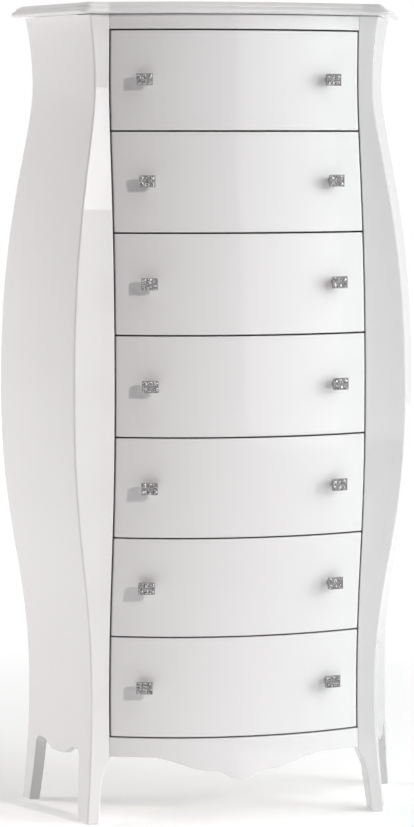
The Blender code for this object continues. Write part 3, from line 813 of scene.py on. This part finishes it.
def knob_neck_rings():
    """The turned neck: radius against distance from the front, a rose, a waist and a collar."""
    profile = np.array(
        [
            (0.0066, 0.0006),
            (0.0066, -0.0006),
            (0.0062, -0.0013),
            (0.0048, -0.0020),
            (0.0040, -0.0034),
            (0.0036, -0.0058),
            (0.0038, -0.0086),
            (0.0048, -0.0110),
            (0.0066, -0.0126),
            (0.0068, -0.0136),
        ]
    )
    angle = np.linspace(0, 2 * np.pi, 32, endpoint=False)
    radius, y = profile[:, :1], profile[:, 1:]
    return np.stack([radius * np.cos(angle), y + 0 * angle, radius * np.sin(angle)], -1)


def cut_stone_rings(width, height, face):
    """A cushion-cut stone. Each ring has 16 points, |x|^4 + |y|^4 = 1 scaled to the ring's width
    and height, and every second ring is turned by half a step, so that the facets are kites."""
    steps = [(1.0, 0.0, 0), (1.0, 0.20, 0), (0.80, 0.62, 0.5), (0.52, 0.92, 0), (0.30, 1.0, 0.5)]
    rings = []
    for share, rise, turn in steps:
        angle = (np.arange(16) + turn) * np.pi / 8
        bulge = (np.abs(np.cos(angle)) ** 4 + np.abs(np.sin(angle)) ** 4) ** -0.25
        x, z = share * width / 2 * bulge * np.cos(angle), share * height / 2 * bulge * np.sin(angle)
        rings.append(np.stack([x, np.full(16, face - rise * STONE_RISE), z], -1))
    return np.array(rings)


def facet_painted_reflection(stone):
    """Gives each facet of a stone its painted reflection: many painted dark, some painted half lit
    and a few painted bright.
    """
    count = len(stone.data.polygons)
    flash = stone.data.attributes.new("flash", "FLOAT", "FACE")
    flash.data.foreach_set("value", painted_reflection_draws.beta(*PAINTED_REFLECTION_SPREAD, count).astype(np.float32))
    return stone


def bezel_rings(width, height, face):
    """The raised frame round one stone: a half-round bead that follows four mitred sides."""
    turn = np.linspace(0, np.pi, 7)
    across = -BEZEL_WIDTH / 2 * np.cos(turn)
    rise = BEZEL_RISE * np.sin(turn) - BEZEL_SINK
    corner = np.array([[-1, -1], [1, -1], [1, 1], [-1, 1]])
    half = np.array([width, height]) / 2 - BEZEL_WIDTH / 2
    plan = corner[None] * (half + across[:, None, None])
    y = np.broadcast_to((face - rise)[:, None], plan.shape[:2])
    return np.stack([plan[..., 0], y, plan[..., 1]], -1)


def joined(name, pieces):
    """Joins meshes that belong to one physical piece, keeping the first one's name."""
    bpy.ops.object.select_all(action="DESELECT")
    for piece in pieces:
        piece.select_set(True)
    bpy.context.view_layer.objects.active = pieces[0]
    bpy.ops.object.join()
    pieces[0].name = name
    return pieces[0]


def seated(rings, x, z):
    """Turns rings modelled about the origin square to the bowed front and carries them there."""
    turn = math.asin(x / BOW_RADIUS)
    cosine, sine = math.cos(turn), math.sin(turn)
    turned = rings @ np.array([[cosine, sine, 0], [-sine, cosine, 0], [0, 0, 1]])
    return turned + np.array([x, float(bowed_y(np.array(x), np.array(z))), z])


def make_knob(label, x, z):
    """One knob with its neck, plate, bezels and stones, seated on the front at (x, z)."""
    face = -KNOB_NECK - KNOB_SIZE[1]
    parts = [
        skin(f"{label}_metal", seated(knob_plate_rings(), x, z), KNOB_METAL, sharp_degrees=25),
        skin(f"{label}_neck", seated(knob_neck_rings(), x, z), KNOB_METAL, sharp_degrees=40),
    ]
    across, up = STONE_GRID
    cell = (KNOB_SIZE[0] / across, KNOB_SIZE[2] / up)
    for column in range(across):
        for row in range(up):
            middle = np.array(
                [(column - (across - 1) / 2) * cell[0], 0, (row - (up - 1) / 2) * cell[1]]
            )
            bezel = bezel_rings(cell[0], cell[1], face) + middle
            stone = (
                cut_stone_rings(cell[0] - 2 * BEZEL_WIDTH, cell[1] - 2 * BEZEL_WIDTH, face) + middle
            )
            parts.append(skin(f"{label}_bezel", seated(bezel, x, z), KNOB_METAL, sharp_degrees=50))
            stone = skin(f"{label}_stone", seated(stone, x, z), KNOB_STONE, sharp_degrees=5)
            parts.append(facet_painted_reflection(stone))
    return joined(f"{label}_jewelled", parts)


for number in range(1, DRAWER_COUNT + 1):
    middle = DRAWER_BASE + (DRAWER_COUNT - number + 0.5) * DRAWER_PITCH + KNOB_RISE
    for side, x in (("left", -KNOB_X), ("right", KNOB_X)):
        knob = make_knob(f"drawer_{number}_{side}_knob", x, middle)
        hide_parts(f"drawer_{number}_{side}_knob")
        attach(knob, f"drawer_{number}")

# Studio
# A plain pale floor that fades into a white background, with soft boxes round the chest. The
# camera stands in front of the chest, a little to its left, at the height of its top drawers.

FLOOR_REACH = 7.0
FLOOR_DROP = 0.0005
FLOOR_TONE = 0.86
FLOOR_LIFT = 0.27
FLOOR_GLOW = 0.20
FADE_START, FADE_END = 0.6, 2.2
KEY_AZIMUTH = 30
FLAG_DISTANCE = 3.0
FLAG_OUTLINE = ((0.0943, 0.6), (1.2, 0.6), (1.2, 2.6), (-0.0857, 2.6))
CAMERA_PLACE = (-1.05146, -4.9548, 1.09357)
CAMERA_TILT = math.radians(1.25)
CAMERA_TURN = -0.202952


def seen_rays(channel):
    """1 for rays from the camera, in gloss and through glass, and 0 for those that spread light."""
    camera, glossy, clear = (
        channel.node("ShaderNodeLightPath", {}, {}, f"Is {kind} Ray")
        for kind in ("Camera", "Glossy", "Transmission")
    )
    return channel.maths("MINIMUM", camera + glossy + clear, 1.0)


# To the camera the floor glows, up to pure white where it meets the background. To the chest it is
# a pale floor that gives off a little light of its own close by.
floor_mesh = bpy.data.meshes.new("floor")
corners = FLOOR_REACH * np.array([[-1, -1], [1, -1], [1, 1], [-1, 1]])
floor_mesh.from_pydata([(x, y, -FLOOR_DROP) for x, y in corners], [], [(0, 1, 2, 3)])
floor = bpy.data.objects.new("floor", floor_mesh)
bpy.context.scene.collection.objects.link(floor)
pale_floor, channel, shader = new_finish("pale_floor")
place = channel.node("ShaderNodeTexCoord", {}, {}, "Object")
away = channel.node("ShaderNodeVectorMath", {"operation": "LENGTH"}, {0: place}, "Value")
share = channel.node(
    "ShaderNodeMapRange",
    {"interpolation_type": "SMOOTHSTEP"},
    {"Value": away, "From Min": FADE_START, "From Max": FADE_END, "To Min": 0.0, "To Max": 1.0},
)
seen = seen_rays(channel)
shown = FLOOR_LIFT + (1 - FLOOR_LIFT) * share
glow = seen * shown + (1 - seen) * (FLOOR_GLOW * (1 - share))
channel.tree.links.new(glow.socket, shader.inputs["Emission Color"])
channel.tree.links.new((FLOOR_TONE * (1 - seen * share)).socket, shader.inputs["Base Color"])
shader.inputs["Emission Strength"].default_value = 1.0
shader.inputs["Roughness"].default_value = 0.6
shader.inputs["Specular IOR Level"].default_value = 0.1
floor_mesh.materials.append(pale_floor)

world = bpy.data.worlds.new("studio")
bpy.context.scene.world = world
world.use_nodes = True
backdrop = world.node_tree.nodes["Background"]
backdrop.inputs["Color"].default_value = (1, 1, 1, 1)
sky = Channel(world.node_tree)
sky.tree.links.new(seen_rays(sky).socket, backdrop.inputs["Strength"])


def soft_box(name, azimuth, rise, distance, aim_height, size, watts, colour, role):
    """A rectangular lamp on a sphere round the point at aim_height on the chest's axis. Azimuth is
    measured in degrees from the fronts' side, -Y, towards +X. A fill only spreads light, and a
    reflector is only seen in gloss."""
    turn, rise = math.radians(azimuth), math.radians(rise)
    level = math.cos(rise)
    away = Vector((math.sin(turn) * level, -math.cos(turn) * level, math.sin(rise)))
    lamp = bpy.data.lights.new(name, "AREA")
    lamp.shape = "RECTANGLE"
    lamp.size, lamp.size_y = size
    lamp.energy = watts
    lamp.color = colour
    box = bpy.data.objects.new(name, lamp)
    box.location = Vector((0, 0, aim_height)) + away * distance
    box.rotation_mode = "QUATERNION"
    box.rotation_quaternion = away.to_track_quat("Z", "Y")
    box.visible_camera = False
    box.visible_glossy = role == "reflector"
    box.visible_diffuse = role == "fill"
    bpy.context.scene.collection.objects.link(box)


# Each lamp's name, azimuth, rise, distance, height aimed at, size, watts, colour and role.
for lamp in (
    ("key", KEY_AZIMUTH, 19.5, 6.0, 0.75, (0.4, 0.5), 172, (1, 0.912, 0.92), "fill"),
    ("right_fill", 62, 14, 6.0, 0.8, (3.2, 3.2), 91, (0.95, 1, 0.998), "fill"),
    ("far_right_fill", 84, 10, 3.0, 0.7, (3.0, 3.0), 104, (0.952, 1, 1), "fill"),
    ("left_fill", -118, 2, 3.2, 0.6, (2.2, 2.4), 94, (1, 0.965, 0.96), "fill"),
    ("high_left_fill", -112, 40, 3.0, 0.8, (1.6, 1.6), 4.5, (1, 0.94, 0.935), "fill"),
    ("high_right_fill", 40, 48, 4.0, 0.9, (2.4, 2.4), 36, (0.985, 1, 1), "fill"),
    ("overhead_fill", 0, 88, 2.8, 0.7, (2.4, 2.4), 14, (1, 0.93, 0.92), "fill"),
    ("front_card", 31, 5, 3.0, 0.9, (2.2, 2.6), 20, (1, 1, 1), "reflector"),
    ("post_card", -3.5, 0, 0.95, 1.36, (0.31, 0.30), 1.15, (1, 1, 1), "reflector"),
    ("post_fill", 22, 8, 6.0, 0.7, (2.0, 2.0), 66, (0.985, 1, 1), "fill"),
):
    soft_box(*lamp)


def link_lamp(lamp, state, names):
    """Lets a lamp light only the named pieces with INCLUDE, or all but those with EXCLUDE."""
    pieces = bpy.data.collections.new(f"{lamp}_lights")
    for name in names:
        pieces.objects.link(bpy.data.objects[name])
    for entry in pieces.collection_objects:
        entry.light_linking.link_state = state
    bpy.data.objects[lamp].light_linking.receiver_collection = pieces


# The post card makes the tall reflection high on the left post. The far right fill would clip the
# faces that are square to it, so it leaves them out, and the post fill lights two of them instead.
link_lamp("post_card", "INCLUDE", ["left_front_post_lacquered"])
link_lamp("post_fill", "INCLUDE", ["right_front_post_lacquered", "top_lacquered"])
link_lamp(
    "far_right_fill",
    "EXCLUDE",
    [
        "right_side_lacquered",
        "right_back_post_lacquered",
        "right_front_post_lacquered",
        "top_lacquered",
    ],
)

# An unseen flag half way to the key takes its light off the chest's right side and, by its slanted
# edge, off the upper drawers, step by step.
turn = math.radians(KEY_AZIMUTH)
out = Vector((math.sin(turn), -math.cos(turn), 0))
across = Vector((math.cos(turn), math.sin(turn), 0))
flag_mesh = bpy.data.meshes.new("flag")
flag_mesh.from_pydata(
    [out * FLAG_DISTANCE + across * reach + Vector((0, 0, z)) for reach, z in FLAG_OUTLINE],
    [],
    [(0, 1, 2, 3)],
)
flag = bpy.data.objects.new("flag", flag_mesh)
flag.visible_camera = flag.visible_glossy = flag.visible_diffuse = False
bpy.context.scene.collection.objects.link(flag)

camera_data = bpy.data.cameras.new("camera")
camera_data.lens = 136.78
camera_data.sensor_width = 36.0
camera_data.shift_y = -0.2579
camera = bpy.data.objects.new("camera", camera_data)
camera.location = CAMERA_PLACE
camera.rotation_euler = (math.pi / 2 - CAMERA_TILT, 0, CAMERA_TURN)
bpy.context.scene.collection.objects.link(camera)
bpy.context.scene.camera = camera
bpy.context.scene.view_settings.view_transform = "Standard"
